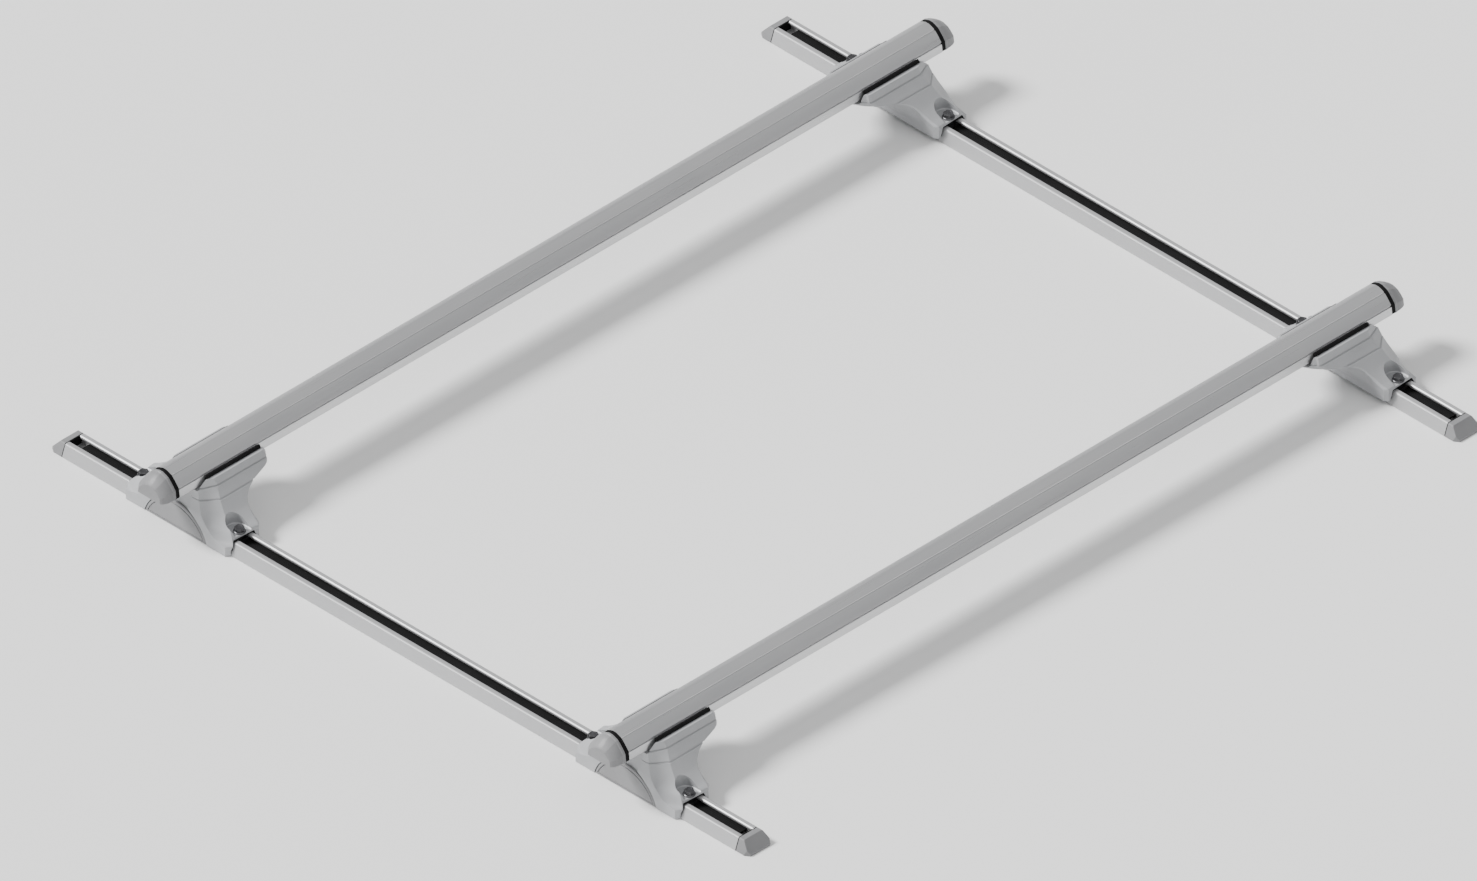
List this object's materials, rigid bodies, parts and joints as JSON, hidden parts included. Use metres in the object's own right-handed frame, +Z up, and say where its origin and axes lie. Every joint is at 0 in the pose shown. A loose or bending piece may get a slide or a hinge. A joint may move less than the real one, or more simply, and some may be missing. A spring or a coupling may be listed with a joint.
{
  "type": "roof rack",
  "caption": "Track-mounted roof rack: domed crossbars on towers that slide and clamp along slotted roof tracks.",
  "frame": {"origin": "centre of the rectangle under the rack, on the plane of the track undersides", "axes": "+X along the crossbars, across the vehicle; +Y along the tracks, to the rear of the rack; +Z up"},
  "size_m": [1.375, 1.21, 0.099],
  "materials": {
    "track_aluminium": "satin silver anodised, drawn along the length",
    "bar_aluminium": "satin silver anodised, drawn along the length",
    "leg_coating": "fine-textured silver-grey powder coat",
    "cover_plastic": "fine moulded grain",
    "cap_plastic": "fine moulded grain",
    "black_rubber": "matt black moulded rubber",
    "dark_steel": "black zinc-plated steel"
  },
  "bodies": {
    "tracks": {"left_track": "track_aluminium", "left_slot_strip": "black_rubber", "left_track_cap_front": "cap_plastic", "left_track_cap_rear": "cap_plastic", "left_track_screw_front": "dark_steel", "left_track_screw_middle": "dark_steel", "left_track_screw_rear": "dark_steel", "right_track": "track_aluminium", "right_slot_strip": "black_rubber", "right_track_cap_front": "cap_plastic", "right_track_cap_rear": "cap_plastic", "right_track_screw_front": "dark_steel", "right_track_screw_middle": "dark_steel", "right_track_screw_rear": "dark_steel"},
    "front_towers": {"front_left_leg": "leg_coating", "front_left_base_pad": "black_rubber", "front_left_saddle_pad": "black_rubber", "front_left_side_cover": "cover_plastic", "front_left_clamp_bolt_front": "dark_steel", "front_left_clamp_bolt_rear": "dark_steel", "front_left_clamp_nut_front": "dark_steel", "front_left_clamp_nut_rear": "dark_steel", "front_left_bar_bolt": "dark_steel", "front_right_leg": "leg_coating", "front_right_base_pad": "black_rubber", "front_right_saddle_pad": "black_rubber", "front_right_side_cover": "cover_plastic", "front_right_clamp_bolt_front": "dark_steel", "front_right_clamp_bolt_rear": "dark_steel", "front_right_clamp_nut_front": "dark_steel", "front_right_clamp_nut_rear": "dark_steel", "front_right_bar_bolt": "dark_steel", "front_left_bar_nut": "dark_steel", "front_right_bar_nut": "dark_steel"},
    "front_bar": {"front_crossbar": "bar_aluminium", "front_bar_cap_left": "cap_plastic", "front_bar_cap_right": "cap_plastic"},
    "rear_towers": {"rear_left_leg": "leg_coating", "rear_left_base_pad": "black_rubber", "rear_left_saddle_pad": "black_rubber", "rear_left_side_cover": "cover_plastic", "rear_left_clamp_bolt_front": "dark_steel", "rear_left_clamp_bolt_rear": "dark_steel", "rear_left_clamp_nut_front": "dark_steel", "rear_left_clamp_nut_rear": "dark_steel", "rear_left_bar_bolt": "dark_steel", "rear_right_leg": "leg_coating", "rear_right_base_pad": "black_rubber", "rear_right_saddle_pad": "black_rubber", "rear_right_side_cover": "cover_plastic", "rear_right_clamp_bolt_front": "dark_steel", "rear_right_clamp_bolt_rear": "dark_steel", "rear_right_clamp_nut_front": "dark_steel", "rear_right_clamp_nut_rear": "dark_steel", "rear_right_bar_bolt": "dark_steel", "rear_left_bar_nut": "dark_steel", "rear_right_bar_nut": "dark_steel"},
    "rear_bar": {"rear_crossbar": "bar_aluminium", "rear_bar_cap_left": "cap_plastic", "rear_bar_cap_right": "cap_plastic"}
  },
  "joints": [
    {"name": "front_towers_along_tracks", "type": "slide", "parent": "tracks", "child": "front_towers", "axis": [0, 1, 0], "range_m": [-0.08, 0.29]},
    {"name": "front_bar_sideways", "type": "slide", "parent": "front_towers", "child": "front_bar", "axis": [1, 0, 0], "range_m": [-0.02, 0.02]},
    {"name": "rear_towers_along_tracks", "type": "slide", "parent": "tracks", "child": "rear_towers", "axis": [0, 1, 0], "range_m": [-0.29, 0.1]},
    {"name": "rear_bar_sideways", "type": "slide", "parent": "rear_towers", "child": "rear_bar", "axis": [1, 0, 0], "range_m": [-0.02, 0.02]}
  ]
}
